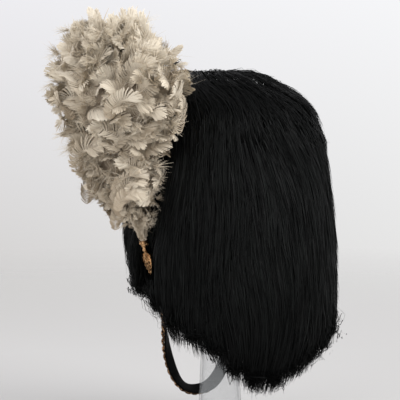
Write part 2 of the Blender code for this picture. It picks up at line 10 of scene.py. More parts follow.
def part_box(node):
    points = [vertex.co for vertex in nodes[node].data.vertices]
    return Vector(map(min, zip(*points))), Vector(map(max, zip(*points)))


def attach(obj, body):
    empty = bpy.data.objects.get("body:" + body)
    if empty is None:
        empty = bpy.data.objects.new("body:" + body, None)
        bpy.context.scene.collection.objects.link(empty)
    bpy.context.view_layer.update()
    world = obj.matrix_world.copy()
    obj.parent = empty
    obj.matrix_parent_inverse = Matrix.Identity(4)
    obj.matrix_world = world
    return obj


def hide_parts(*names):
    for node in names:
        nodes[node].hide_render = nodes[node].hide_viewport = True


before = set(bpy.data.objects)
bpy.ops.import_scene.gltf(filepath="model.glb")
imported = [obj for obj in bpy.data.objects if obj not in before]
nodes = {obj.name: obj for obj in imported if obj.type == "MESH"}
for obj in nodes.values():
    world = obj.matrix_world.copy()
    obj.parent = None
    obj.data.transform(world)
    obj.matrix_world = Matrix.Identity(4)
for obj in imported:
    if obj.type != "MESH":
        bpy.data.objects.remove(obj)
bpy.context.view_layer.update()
chance = np.random.default_rng(11)

goldenTurn = math.pi * (3 - math.sqrt(5))
viewSideways = (-0.766, 0.643, 0.0)  # to the right, as the camera sees it
viewNearer = (0.643, 0.766, 0.0)  # towards the camera


class Field:
    # a socket that takes part in Python expressions
    def __init__(self, owner, socket):
        self.owner = owner
        self.socket = socket

    def __add__(self, other):
        return self.owner.maths("ADD", self, other)

    def __radd__(self, other):
        return self.owner.maths("ADD", other, self)

    def __sub__(self, other):
        return self.owner.maths("SUBTRACT", self, other)

    def __rsub__(self, other):
        return self.owner.maths("SUBTRACT", other, self)

    def __mul__(self, other):
        return self.owner.maths("MULTIPLY", self, other)

    def __rmul__(self, other):
        return self.owner.maths("MULTIPLY", other, self)

    def __pow__(self, other):
        return self.owner.maths("POWER", self, other)


class Nodes:
    # short ways to add to one node tree
    def __init__(self, tree):
        self.tree = tree

    def put(self, socket, value):
        if isinstance(value, Field):
            self.tree.links.new(value.socket, socket)
        else:
            socket.default_value = value

    def node(self, kind, settings=None, inputs=None, output=0):
        made = self.tree.nodes.new(kind)
        for name, value in (settings or {}).items():
            setattr(made, name, value)
        for name, value in (inputs or {}).items():
            self.put(made.inputs[name], value)
        return Field(self, made.outputs[output])

    def maths(self, operation, *values):
        return self.node("ShaderNodeMath", {"operation": operation}, dict(enumerate(values)))

    def clamped(self, value):
        return self.node("ShaderNodeClamp", None, {"Value": value})

    def blend(self, share, first, second):
        return self.node("ShaderNodeMix", {"data_type": "RGBA"}, {0: share, 6: first, 7: second}, 2)

    def mapped(self, value, low, high):
        return self.node("ShaderNodeMapRange", None, {"Value": value, "From Min": low, "From Max": high})


class Look(Nodes):
    # one material
    def __init__(self, name, **values):
        self.material = bpy.data.materials.new(name)
        self.material.use_nodes = True
        super().__init__(self.material.node_tree)
        self.shader = self.tree.nodes["Principled BSDF"]
        for socket, value in values.items():
            self.surface(socket.replace("_", " "), value)

    def surface(self, name, value):
        self.put(self.shader.inputs[name], value)

    def places(self, stretch=(1, 1, 1)):
        coordinates = self.node("ShaderNodeTexCoord", None, None, "Object")
        return self.node("ShaderNodeMapping", None, {"Vector": coordinates, "Scale": stretch})

    def height(self):
        return self.node("ShaderNodeSeparateXYZ", None, {"Vector": self.places()}, "Z")

    def noise(self, scale, detail=3.0, stretch=(1, 1, 1)):
        inputs = {"Vector": self.places(stretch), "Scale": scale, "Detail": detail}
        return self.node("ShaderNodeTexNoise", None, inputs)

    def attribute(self, name):
        return self.node("ShaderNodeAttribute", {"attribute_name": name}, None, "Fac")

    def bump(self, height, strength, distance):
        inputs = {"Height": height, "Strength": strength, "Distance": distance}
        self.surface("Normal", self.node("ShaderNodeBump", None, inputs))


def makeFurLook():
    look = Look("blackFur", Roughness=0.46, Specular_IOR_Level=0.06)
    tint = look.attribute("tint")
    patch = look.noise(16.0, 2.0)
    patchy = look.clamped(patch * 1.6 - 0.35)
    dark = look.blend(patchy, (0.0012, 0.0012, 0.0013, 1), (0.0030, 0.0032, 0.0031, 1))
    height = look.height()
    # painted shade: darker at the crown and at the hem
    wearAndPaintedShade = look.clamped((0.47 - height) * 9.0) * look.clamped((height - 0.10) * 9.0)
    look.surface("Base Color", look.blend(tint * (0.22 + 0.68 * wearAndPaintedShade), dark, (0.0110, 0.0125, 0.0117, 1)))
    look.surface("Roughness", 0.36 + 0.22 * tint)
    return look.material


def makeSkinLook():
    look = Look("furGround", Roughness=0.8, Specular_IOR_Level=0.03)
    streaks = look.noise(220.0, 3.0, (1, 1, 0.06))
    look.surface("Base Color", look.blend(streaks, (0.001, 0.001, 0.001, 1), (0.004, 0.004, 0.0044, 1)))
    look.bump(streaks, 0.7, 0.002)
    return look.material


def makeHideLook():
    look = Look("darkHide", Roughness=0.85)
    grain = look.noise(900.0, 4.0)
    cloud = look.noise(30.0, 3.0)
    look.surface("Base Color", look.blend(cloud, (0.020, 0.016, 0.012, 1), (0.060, 0.046, 0.034, 1)))
    look.surface("Roughness", 0.75 + 0.2 * grain)
    look.bump(grain, 0.35, 0.0006)
    return look.material


def makeFeatherLook():
    look = Look("creamFeather", Roughness=0.72, Specular_IOR_Level=0.25)
    shade = look.attribute("shade")  # painted shade with random tone: 0 at a barb's root and low on the feather, 1 at its tip
    tint = look.attribute("tint")
    # painted light and shade: low is the cream in shadow and high the cream in light, each varied by tint
    low = look.blend(tint, (0.350, 0.278, 0.195, 1), (0.510, 0.430, 0.328, 1))
    high = look.blend(tint, (0.670, 0.590, 0.465, 1), (0.830, 0.760, 0.635, 1))
    paintedFootShade = look.clamped((0.50 - look.height()) * 2.2)  # painted shade: darker towards the plume's foot
    look.surface("Base Color", look.blend(look.clamped(shade + 0.06 - paintedFootShade), low, high))
    look.surface("Roughness", 0.62 + 0.2 * tint)
    return look.material


def makeCoreLook():
    look = Look("shadedFeatherDown", Roughness=0.9)
    # painted shade: the plume's dense middle is coloured as feathers in shadow
    fluff = look.noise(260.0, 4.0, (1, 1, 0.3))
    look.surface("Base Color", look.blend(fluff, (0.200, 0.155, 0.110, 1), (0.460, 0.380, 0.290, 1)))
    look.bump(fluff, 0.8, 0.003)
    return look.material


def makeGiltLook():
    look = Look("wornGilt", Metallic=1.0, Roughness=0.36)
    wear = look.noise(420.0, 4.0)
    # dark patches: patina, and painted shade standing in for the dark recesses of the leaf and cup
    patinaAndPaintedShade = look.clamped(look.noise(260.0) * 3.2 - 1.25)
    look.surface("Base Color", look.blend(patinaAndPaintedShade, (0.700, 0.430, 0.215, 1), (0.100, 0.038, 0.014, 1)))
    look.surface("Roughness", 0.16 + 0.30 * wear)
    look.bump(wear, 0.80, 0.0010)
    return look.material


def makeLeatherLook():
    look = Look("blackLeather", Roughness=0.5, Specular_IOR_Level=0.03)
    pores = look.node("ShaderNodeTexVoronoi", None, {"Vector": look.places(), "Scale": 1100.0}, "Distance")
    crease = look.noise(160.0, 4.0, (1, 1, 0.4))
    look.surface("Base Color", look.blend(crease, (0.0008, 0.0008, 0.0008, 1), (0.0030, 0.0028, 0.0026, 1)))
    look.surface("Roughness", 0.42 + 0.30 * crease)
    look.bump(pores * 0.6 + crease * 0.4, 0.35, 0.0004)
    return look.material


def makeBronzeLook():
    look = Look("darkBronze", Metallic=1.0, Roughness=0.34)
    wear = look.noise(380.0, 4.0)
    # bright patches: rubbed metal, and painted highlights on the dark links
    rubbedAndPaintedGlint = look.clamped(look.noise(300.0, 2.0) * 4.0 - 1.9)
    look.surface("Base Color", look.blend(rubbedAndPaintedGlint, (0.040, 0.019, 0.009, 1), (0.620, 0.380, 0.210, 1)))
    look.surface("Roughness", 0.18 + 0.26 * wear)
    look.bump(wear, 0.25, 0.0003)
    return look.material


def makeWireLook():
    look = Look("blackWire", Roughness=0.5, Specular_IOR_Level=0.3)
    wearAndPaintedShade = look.noise(600.0, 3.0)
    look.surface("Base Color", look.blend(wearAndPaintedShade, (0.004, 0.004, 0.004, 1), (0.030, 0.026, 0.022, 1)))
    look.surface("Roughness", 0.35 + 0.3 * wearAndPaintedShade)
    return look.material


def makeAcrylicLook():
    look = Look("clearAcrylic", Roughness=0.06, IOR=1.49, Specular_IOR_Level=0.3)
    # painted shade: darker and less clear where the surface turns edge-on to the view, for the dark edges of
    # the clear post
    edge = look.node("ShaderNodeLayerWeight", None, {"Blend": 0.5}, "Facing")
    rim = look.clamped(edge ** 3.0 * 1.5)
    look.surface("Base Color", look.blend(rim, (0.64, 0.66, 0.67, 1), (0.06, 0.06, 0.065, 1)))
    scuffs = look.noise(70.0, 3.0, (1, 1, 0.1))
    look.surface("Alpha", look.clamped(0.13 + 0.55 * edge ** 4.0))
    look.surface("Roughness", 0.04 + 0.10 * scuffs)
    return look.material


def makeFloorLook():
    look = Look("paleFloor", Roughness=0.9, Specular_IOR_Level=0.1)
    look.surface("Base Color", (0.63, 0.62, 0.605, 1))
    coordinates = look.node("ShaderNodeTexCoord", None, None, "Object")
    reach = look.node("ShaderNodeVectorMath", {"operation": "LENGTH"}, {0: coordinates}, "Value")
    look.surface("Alpha", look.clamped(1.35 - reach * 0.42))
    return look.material


def addPiece(name, mesh, look):
    made = bpy.data.objects.new(name, mesh)
    bpy.context.scene.collection.objects.link(made)
    mesh.materials.clear()
    mesh.materials.append(look)
    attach(made, "root")
    return made


def unit(vectors):
    return vectors / np.maximum(np.linalg.norm(vectors, axis=-1, keepdims=True), 1e-9)


def smoothstep(value, low, high):
    share = np.clip((value - low) / (high - low), 0, 1)
    return share * share * (3 - 2 * share)


def ribbonMesh(name, points, sides, widths, **attributes):
    # many thin ribbons as one mesh: points and sides are (ribbon, point, xyz), widths (ribbon, point)
    count, length = points.shape[:2]
    half = sides * widths[..., None] / 2
    corners = np.stack((points - half, points + half), axis=2).reshape(-1, 3)
    first = (np.arange(count)[:, None] * length + np.arange(length - 1)[None]) * 2
    quads = np.stack((first, first + 1, first + 3, first + 2), axis=-1).reshape(-1, 4)
    mesh = bpy.data.meshes.new(name)
    mesh.vertices.add(len(corners))
    mesh.vertices.foreach_set("co", corners.astype(np.float32).ravel())
    mesh.loops.add(quads.size)
    mesh.loops.foreach_set("vertex_index", quads.astype(np.int32).ravel())
    mesh.polygons.add(len(quads))
    mesh.polygons.foreach_set("loop_start", np.arange(0, quads.size, 4, dtype=np.int32))
    mesh.polygons.foreach_set("use_smooth", np.ones(len(quads), bool))
    mesh.update(calc_edges=True)
    for attributeName, values in attributes.items():
        layer = mesh.attributes.new(attributeName, "FLOAT", "POINT")
        full = np.broadcast_to(values, (count, length)).astype(np.float32)
        layer.data.foreach_set("value", np.repeat(full.ravel(), 2))
    return mesh


def finishedMesh(name, shape):
    mesh = bpy.data.meshes.new(name)
    shape.to_mesh(mesh)
    shape.free()
    mesh.shade_smooth()
    return mesh


def curveMesh(name, radius, sides, lines, closed):
    # round wires along these lines
    data = bpy.data.curves.new(name, "CURVE")
    data.dimensions = "3D"
    data.bevel_depth = radius
    data.bevel_resolution = sides
    for line in lines:
        spline = data.splines.new("POLY")
        spline.points.add(len(line) - 1)
        for point, place in zip(spline.points, line):
            point.co = (*place, 1)
        spline.use_cyclic_u = closed
    holder = bpy.data.objects.new(name, data)
    mesh = bpy.data.meshes.new_from_object(holder)
    bpy.data.objects.remove(holder)
    mesh.name = name
    return mesh


def mergedCopy(node):
    shape = bmesh.new()
    shape.from_mesh(nodes[node].data)
    bmesh.ops.remove_doubles(shape, verts=shape.verts, dist=1e-6)
    return shape


coat = {
    "guides": 4200,
    "hairs": 36000,
    "pieces": 3,
    "points": 7,
    "length": (0.055, 0.090),
    "width": 0.0010,
    "smoothing": 8,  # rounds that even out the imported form's tiers
    "swell": 0.0060,  # and how far the even form then stands out
    "kept": 0.60,  # share of its own place that the hem keeps
    "keptBelow": (0.110, 0.060),  # height over the hem where this ends, and how gently
    "shoulder": (0.440, 0.050, 0.0038),  # height, reach and depth of the extra swell round the crown
    "slope": 0.0080,  # how far the crown falls away to the camera's right
    "slopeAcross": (0.025, 0.085),  # places across between which it does
    "slopeHeights": (0.440, 0.485),
    "lift": (-0.0035, 0.0008),  # how far the hair's tips stand off it
    "sink": 0.0050,  # depth of the roots
    "rootFacing": 0.18,  # least outward share of a face that hair grows from
    "groundDepth": 0.0120,  # depth of the dense hair under the coat
    "groundHem": 0.009,  # how far its edge is drawn up at the hem
    "groundBelow": (0.060, 0.050),  # height over the hem where this ends, and how gently
    "groundClear": 0.0050,  # how far it stays behind the socket's parting
    "clump": 0.28,  # how far hairs draw together towards their tips
    "spread": 0.0075,  # of a guide's hairs, sideways
    "slide": 0.0080,  # and lengthways
    "waver": 0.0010,
    "steady": 0.35,  # share of its last direction that a hair keeps
    "hangGap": 0.0015,  # a hair this far below the form hangs free
    "shortest": 0.008,
    "roll": 0.45,
    "hem": (-0.003, 0.008),  # tips over the hem's lowest locks
    "dips": ((19.0, 17.0, 0.014), (131.0, 22.0, 0.006)),  # lower stretches of hem: angle, half width, depth
    "whorl": (0.014, -0.022),  # where the hair fans out from on top
    "fan": (0.425, 0.495),  # heights between which the hair turns from falling to fanning out
    "swirl": 0.32,
    "swirlHeights": (0.26, 0.47),
    "crown": 0.0042,  # extra lift on top
    "crownFacing": (0.84, 0.13),  # how level a face has to be for it, and how gently it starts
    "stray": 0.04,  # share of hairs that stand off
    "strayLift": (0.0005, 0.0032),
}
furAxis = (0.0, 0.017)
furMiddle = (0.0, 0.005, 0.31)
furInside = 0.096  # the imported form's inner face lies within this reach of the axis
crownRoom = 0.006  # and within this height over the wall


def evenForm(hem):
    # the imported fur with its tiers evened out, on which the hair lies
    shape = mergedCopy("fur")
    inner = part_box("cap_wall")[1].z + crownRoom
    outer = [v for v in shape.verts if (v.co.xy - Vector(furAxis)).length > furInside or v.co.z > inner]
    before = {v: v.co.copy() for v in outer}
    axes = {"use_axis_x": True, "use_axis_y": True, "use_axis_z": True}
    for _ in range(coat["smoothing"]):
        bmesh.ops.smooth_vert(shape, verts=outer, factor=0.5, **axes)
    over = np.array([v.co.z for v in outer]) - hemAt(hem, np.array([v.co for v in outer]))
    top, fade = coat["keptBelow"]
    for vertex, height in zip(outer, over):
        kept = coat["kept"] * min(max((top - height) / fade, 0.0), 1.0)
        vertex.co = vertex.co.lerp(before[vertex], kept)
        across = vertex.co.x * viewSideways[0] + vertex.co.y * viewSideways[1]
        fall = smoothstep(across, *coat["slopeAcross"]) * smoothstep(vertex.co.z, *coat["slopeHeights"])
        vertex.co.z -= coat["slope"] * float(fall)
    shape.normal_update()
    level, reach, depth = coat["shoulder"]
    for vertex, normal in [(v, v.normal.copy()) for v in outer]:
        extra = depth * max(1 - ((vertex.co.z - level) / reach) ** 2, 0.0)
        vertex.co += normal * (coat["swell"] + extra)
    bmesh.ops.triangulate(shape, faces=shape.faces)
    shape.normal_update()
    return shape, outer


def surfaceData(shape):
    # the even form's triangles, with those that face outwards as places for roots
    corners = np.array([v.co for v in shape.verts])
    shape.verts.index_update()
    triangles = np.array([[v.index for v in face.verts] for face in shape.faces])
    tree = BVHTree.FromBMesh(shape)
    a, b, c = (corners[triangles[:, i]] for i in range(3))
    normals = np.cross(b - a, c - a)
    areas = np.linalg.norm(normals, axis=1) / 2
    normals = unit(normals)
    middles = (a + b + c) / 3
    outward = unit(middles - np.array(furMiddle))
    outside = (normals * outward).sum(1) > coat["rootFacing"]
    return tree, (a, b, c), normals, areas * outside


def scatter(corners, normals, weights, count):
    # random places on the triangles, more where the weights are larger
    a, b, c = corners
    picked = chance.choice(len(a), size=count, p=weights / weights.sum())
    u, v = chance.random(count), chance.random(count)
    over = u + v > 1
    u[over], v[over] = 1 - u[over], 1 - v[over]
    roots = a[picked] + (b - a)[picked] * u[:, None] + (c - a)[picked] * v[:, None]
    return roots, normals[picked]


def hemLine():
    # angles round the hat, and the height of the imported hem's lowest locks there
    places = np.array([v.co for v in nodes["fur"].data.vertices])
    reach = np.hypot(places[:, 0] - furAxis[0], places[:, 1] - furAxis[1])
    places = places[reach > furInside]
    angles = np.degrees(np.arctan2(places[:, 1] - furAxis[1], places[:, 0]))
    step, window = 6, 8  # degrees
    bins = np.arange(-180, 181, step)
    lows = []
    for middle in bins[:-1]:
        near = np.abs((angles - middle + 180) % 360 - 180) < window
        lows.append(places[near, 2].min())
    soft = 0.25 * np.roll(lows, 1) + 0.5 * np.array(lows) + 0.25 * np.roll(lows, -1)
    for angle, half, depth in coat["dips"]:
        soft -= depth * np.clip(1 - (np.abs(bins[:-1] - angle) / half) ** 2, 0, 1)
    return bins, np.append(soft, soft[0])


def comb(places):
    # the way in which the hair lies at these places
    height = places[:, 2]
    away = places[:, :2] - np.array(coat["whorl"])
    away = unit(np.concatenate((away, np.zeros((len(away), 1))), axis=1))
    swirl = np.stack((-away[:, 1], away[:, 0], np.zeros(len(away))), axis=1)
    fan = smoothstep(height, *coat["fan"])[:, None]
    turning = smoothstep(height, *coat["swirlHeights"])[:, None] * coat["swirl"]
    down = np.array([0.0, 0.0, -1.0])
    x, y, z = places.T
    drift = 0.13 * np.sin(31 * x + 17 * z + 1.3) + 0.10 * np.sin(47 * y - 29 * z)
    return unit(down * (1.02 - fan) + away * fan + swirl * (turning + drift[:, None]))


def growGuides(tree, roots, normals, lengths, points, lifts):
    # hair paths that follow the even form and hang free below its hem
    count = len(roots)
    paths = np.zeros((count, points, 3))
    faces = np.zeros((count, points, 3))
    now = roots + normals * 0.0005
    facing = normals.copy()
    paths[:, 0], faces[:, 0] = roots - normals * coat["sink"], normals
    heading = comb(now)
    level, ease = coat["crownFacing"]
    for i in range(1, points):
        share = i / (points - 1)
        heading = unit(heading * coat["steady"] + comb(now))
        heading -= facing * (heading * facing).sum(1, keepdims=True).clip(0)
        aimed = now + unit(heading) * (lengths / (points - 1))[:, None]
        for k in range(count):
            spot, normal, _, _ = tree.find_nearest(aimed[k])
            if spot.z - aimed[k][2] <= coat["hangGap"]:
                crown = coat["crown"] * min(max((normal.z - level) / ease, 0.0), 1.0)
                lift = crown - coat["sink"] * (1 - share) + lifts[k] * share
                aimed[k] = spot + normal * lift
                facing[k] = 0.5 * facing[k] + 0.5 * np.array(normal)
        facing = unit(facing)
        now = aimed
        paths[:, i], faces[:, i] = now, facing
    return paths, faces


def growHairs(paths, faces, count, kind):
    # hairs beside the guides: each joins its guide's clump towards the tip
    parents = chance.integers(0, len(paths), count)
    guide, facing = paths[parents], faces[parents]
    share = np.linspace(0, 1, paths.shape[1])[None, :, None]
    along = unit(np.gradient(guide, axis=1))
    across = unit(np.cross(along, facing))
    sideways = across * chance.normal(0, kind["spread"], (count, 1, 1))
    lengthways = along * chance.normal(0, kind["slide"], (count, 1, 1))
    together = 1 - kind["clump"] * share**1.5 * chance.uniform(0.4, 1.2, (count, 1, 1))
    hair = guide + (sideways + lengthways) * together
    phase = chance.uniform(0, math.tau, (count, 2, 1, 1))
    wave = np.sin(share * 5.0 + phase[:, 0]) * across + 0.5 * np.cos(share * 4.2 + phase[:, 1]) * facing
    return hair + wave * kind["waver"] * share, facing, across


def hemAt(hem, places):
    # the hem's height at these places' angles round the hat
    angles = np.degrees(np.arctan2(places[:, 1] - furAxis[1], places[:, 0]))
    return np.interp(angles, *hem)


def trimmed(hair, hem, over):
    # the hairs, with those that hang below the hem drawn up
    tips = hair[:, -1]
    allowed = hemAt(hem, tips) + chance.uniform(*over, len(hair))
    fall = np.maximum(hair[:, 0, 2] - tips[:, 2], 1e-4)
    keep = np.clip((hair[:, 0, 2] - allowed) / fall, 0.12, 1.0)
    return hair[:, :1] + (hair - hair[:, :1]) * keep[:, None, None]


def overSocket(places):
    # how far these places stand out past the hair that lies back behind the socket
    toe, top = socketAxis(socket["length"]), socketAxis(-socket["partingTop"])
    share = np.clip((top.z - places[..., 2]) / (top.z - toe.z), 0, 1)
    shift = places[..., 1] - (top.y + (toe.y - top.y) * share)
    before, behind = socket["parting"]
    within = (shift > -before * (1 - socket["partingTaper"] * share)) & (shift < behind)
    level = (places[..., 2] > toe.z - 0.004) & (places[..., 2] < top.z + 0.010)
    step, least = socket["laidStep"]
    edge = top.x + (toe.x - top.x) * share + np.maximum(shift * socket["laidBack"] - step, -least)
    return np.where(within & level, places[..., 0] - edge, -1.0)


def parted(hair):
    # hairs that don't cover the socket
    return (overSocket(hair) < 0).all(axis=1)


def coatPieces(look, surface, hem):
    tree, corners, normals, weights = surface
    roots, facing = scatter(corners, normals, weights, coat["guides"])
    lengths = chance.uniform(*coat["length"], len(roots))
    lengths = np.minimum(lengths, (roots[:, 2] - hemAt(hem, roots)) * 1.02 + 0.002)
    lengths = np.maximum(lengths, coat["shortest"])
    lifts = chance.uniform(*coat["lift"], len(roots))
    paths, faces = growGuides(tree, roots, facing, lengths, coat["points"], lifts)
    taper = np.array([0.75, 1.0, 1.0, 0.92, 0.75, 0.48, 0.10])
    each = coat["hairs"] // coat["pieces"]
    share = np.linspace(0, 1, coat["points"])[None, :, None]
    for i in range(coat["pieces"]):
        hair, outward, across = growHairs(paths, faces, each, coat)
        stray = (chance.random(each) < coat["stray"])[:, None, None]
        standing = chance.uniform(*coat["strayLift"], (each, 1, 1))
        hair = trimmed(hair + outward * (stray * share**2 * standing), hem, coat["hem"])
        roll = chance.normal(0, coat["roll"], (each, 1, 1))
        sides = unit(across * np.cos(roll) + outward * np.sin(roll))
        widths = coat["width"] * chance.uniform(0.55, 1.3, (each, 1)) * taper[None]
        tint = chance.random((each, 1)) ** 2
        clear = parted(hair)
        name = f"fur_coat_{i + 1}"
        mesh = ribbonMesh(name, hair[clear], sides[clear], widths[clear], tint=tint[clear])
        addPiece(name, mesh, look)
    print("coat hairs", each * coat["pieces"])


fringe = {
    "roots": 1200,
    "hairs": 6400,
    "points": 10,
    "longest": 0.055,
    "width": 0.0008,
    "drop": (-0.010, 0.006),  # tips over the hem's lowest locks
    "curl": 0.0036,
    "turns": 1.4,
    "band": 0.040,  # height of the strip that it grows from
    "clump": 0.30,
    "spread": 0.006,
    "slide": 0.006,
    "waver": 0.001,
    "roll": 0.6,
}


def fringePiece(look, surface, hem):
    # loose curled hair along the hem
    tree, corners, normals, weights = surface
    middles = (corners[0] + corners[1] + corners[2]) / 3
    low = middles[:, 2] < hemAt(hem, middles) + fringe["band"]
    roots, facing = scatter(corners, normals, weights * low, fringe["roots"])
    lengths = np.clip(roots[:, 2] - hemAt(hem, roots) + 0.008, 0.010, fringe["longest"])
    lifts = chance.uniform(*coat["lift"], len(roots))
    paths, faces = growGuides(tree, roots, facing, lengths, fringe["points"], lifts)
    count = fringe["hairs"]
    hair, outward, across = growHairs(paths, faces, count, fringe)
    share = np.linspace(0, 1, fringe["points"])[None, :, None]
    turn = share * fringe["turns"] * math.tau * chance.uniform(0.5, 1.3, (count, 1, 1))
    turn = turn * chance.choice([-1, 1], (count, 1, 1)) + chance.uniform(0, math.tau, (count, 1, 1))
    size = fringe["curl"] * share**2 * chance.random((count, 1, 1)) ** 1.2
    hair = trimmed(hair, hem, fringe["drop"]) + (across * np.cos(turn) + outward * np.sin(turn)) * size
    roll = chance.normal(0, fringe["roll"], (count, 1, 1))
    sides = unit(across * np.cos(roll) + outward * np.sin(roll))
    taper = np.linspace(1, 0.12, fringe["points"])[None]
    widths = fringe["width"] * chance.uniform(0.5, 1.2, (count, 1)) * taper
    mesh = ribbonMesh("fur_fringe", hair, sides, widths, tint=chance.random((count, 1)) ** 2)
    addPiece("fur_fringe", mesh, look)
    print("hem hairs", count)


def groundPiece(look, shape, outer, hem):
    # the dense hair under the coat: the even form, smaller and shorter at the hem
    places = np.array([v.co for v in outer])
    over = places[:, 2] - hemAt(hem, places)
    top, fade = coat["groundBelow"]
    raised = coat["groundHem"] * np.clip((top - over) / fade, 0, 1)
    inwards = [v.normal * -coat["groundDepth"] for v in outer]
    for vertex, move, rise in zip(outer, inwards, raised):
        vertex.co += move
        vertex.co.z += rise
    places = np.array([v.co for v in outer])
    for vertex, depth in zip(outer, overSocket(places)):
        vertex.co.x -= max(depth + coat["groundClear"], 0.0) if depth > -0.5 else 0.0
    made = addPiece("fur_ground", finishedMesh("fur_ground", shape), look)
    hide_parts("fur")
    print("ground made")


def makeFur(hairLook, groundLook):
    hem = hemLine()
    shape, outer = evenForm(hem)
    surface = surfaceData(shape)
    coatPieces(hairLook, surface, hem)
    fringePiece(hairLook, surface, hem)
    groundPiece(groundLook, shape, outer, hem)


socket = {
    "mouth": (0.122, -0.018, 0.2655),
    "lean": (-0.17, 0.10),  # sideways drift for each metre down
    "cupRadius": 0.00575,
    "cupDepth": 0.0100,
    "beads": 16,
    "beadRadius": 0.00085,
    "beadsDown": 0.0030,  # below the mouth
    "leafTop": 0.0160,  # below the mouth
    "leafLength": 0.0288,
    "leafWidth": 0.0142,
    "leafProud": 0.0050,
    "leafTurn": 0.35,
    "leafThickness": 0.0007,
    "leafLobes": (0.17, 5.5),  # depth, and how many down each edge
    "leafRibs": 0.0010,
    "leafMidrib": 0.0015,
    "leafCurl": (0.0030, 0.0022),  # of the edges and of the tip
    "leafAside": 0.0012,
    "length": 0.044,
    "parting": (0.0135, 0.0400),  # widths that the hair leaves clear, before and behind the socket
    "partingTop": 0.012,  # how far over the mouth it starts
    "partingTaper": 0.45,  # share of the width before the socket that is lost towards the toe
    "laidBack": 0.84,  # slope of the hair that lies behind it
    "laidStep": (0.0098, 0.004),  # depth and most height of that hair's edge against the socket
}


def socketAxis(down):
    x, y, z = socket["mouth"]
    return Vector((x + socket["lean"][0] * down, y + socket["lean"][1] * down, z - down))


def spunShape(profile, steps=40):
    # radius and depth pairs turned round the socket's axis
    shape = bmesh.new()
    points = [shape.verts.new((radius, 0, -down)) for radius, down in profile]
    edges = [shape.edges.new(pair) for pair in zip(points, points[1:])]
    around = {"cent": (0, 0, 0), "axis": (0, 0, 1), "dvec": (0, 0, 0)}
    bmesh.ops.spin(shape, geom=points + edges, angle=math.tau, steps=steps, use_merge=True, **around)
    bmesh.ops.remove_doubles(shape, verts=shape.verts, dist=1e-6)
    return shape


def alongSocket(shape):
    for vertex in shape.verts:
        x, y, z = vertex.co
        middle = socketAxis(-z)
        vertex.co = Vector((middle.x + x, middle.y + y, z + socket["mouth"][2]))
    bmesh.ops.recalc_face_normals(shape, faces=shape.faces)


def socketCup(look):
    # rolled rim, bowl and waist bead
    cup, depth = socket["cupRadius"], socket["cupDepth"]
    rim = [
        (0.0, -0.0002), (cup * 0.86, -0.0002), (cup * 0.92, -0.0007), (cup * 1.06, -0.0005),
        (cup * 1.10, 0.0004), (cup * 1.05, 0.0012), (cup * 0.99, 0.0014), (cup * 1.02, 0.0022),
    ]
    bowl = [(cup * 0.97, depth * 0.40), (cup * 0.76, depth * 0.66), (cup * 0.52, depth * 0.88)]
    bead = [
        (0.0031, depth * 0.97), (0.0036, depth * 1.05), (0.0040, depth * 1.18), (0.0036, depth * 1.32),
        (0.0027, depth * 1.38), (0.0029, depth * 1.5), (0.0, depth * 1.5),
    ]
    shape = spunShape(rim + bowl + bead)
    alongSocket(shape)
    addPiece("socket_cup", finishedMesh("socket_cup", shape), look)


def socketBeads(look):
    # a ring of beads under the rim
    beads = bmesh.new()
    for i in range(socket["beads"]):
        turn = math.tau * i / socket["beads"]
        around = Vector((math.cos(turn), math.sin(turn), 0)) * socket["cupRadius"]
        made = bmesh.ops.create_icosphere(beads, subdivisions=2, radius=socket["beadRadius"])
        bmesh.ops.translate(beads, verts=made["verts"], vec=socketAxis(socket["beadsDown"]) + around)
    addPiece("socket_beads", finishedMesh("socket_beads", beads), look)


def socketLeaf(look):
    # a leaf with ribs, lobed edges and a curled tip
    lobeDepth, lobeCount = socket["leafLobes"]
    edgeCurl, tipCurl = socket["leafCurl"]
    leaf = bmesh.new()
    bmesh.ops.create_grid(leaf, x_segments=40, y_segments=64, size=0.5)
    for vertex in leaf.verts:
        side, down = vertex.co.x * 2, 0.5 - vertex.co.y  # -1 to 1 across, 0 to 1 from top to tip
        lobes = 1 - lobeDepth * abs(math.sin(down * math.pi * lobeCount)) ** 0.7 * (1 - down)
        wide = math.sin(math.pi * min(1.0, 0.10 + 0.90 * down**0.62)) ** 0.72 * lobes
        ribs = math.cos(down * 36 - abs(side) * 8.0) * min(1.0, abs(side) * 4) * (1.1 - down)
        midrib = math.exp(-((side / 0.13) ** 2)) * (1 - 0.6 * down)
        relief = socket["leafRibs"] * ribs + socket["leafMidrib"] * midrib
        crown = socket["leafProud"] * (1 - side * side * 0.85) * wide
        curl = edgeCurl * max(0.0, abs(side) - 0.72) / 0.28 * wide
        curl += tipCurl * max(0.0, down - 0.86) / 0.14
        middle = socketAxis(socket["leafTop"] + down * socket["leafLength"])
        across = side * socket["leafWidth"] / 2 * wide
        place = Vector((crown + relief + curl * 0.6, across + socket["leafAside"], 0))
        vertex.co = middle + Matrix.Rotation(socket["leafTurn"], 3, "Z") @ place
    bmesh.ops.recalc_face_normals(leaf, faces=leaf.faces)
    bmesh.ops.solidify(leaf, geom=leaf.faces[:], thickness=socket["leafThickness"])
    bmesh.ops.recalc_face_normals(leaf, faces=leaf.faces)
    addPiece("socket_leaf", finishedMesh("socket_leaf", leaf), look)


def makeSocket(look):
    socketCup(look)
    socketBeads(look)
    socketLeaf(look)
    print("socket made")


strap = {
    "edgeRound": 0.0006,
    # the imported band's route, which the chain follows
    "steps": 60,
    "forward": -0.047,
    "half": 0.060,
    "low": 0.0475,
    "bend": 0.100,
    "fullness": 0.80,
    "lean": (0.83, -0.55, -0.09),  # outward direction at the wall
    "flare": 1.07,
    "turn": 3.0,
    "sideways": 0.22,
    "ahead": 0.75,
    "downward": 1.05,
    "ends": ((0.0672, -0.0456, 0.2053), (0.0642, -0.0470, 0.1764)),
}


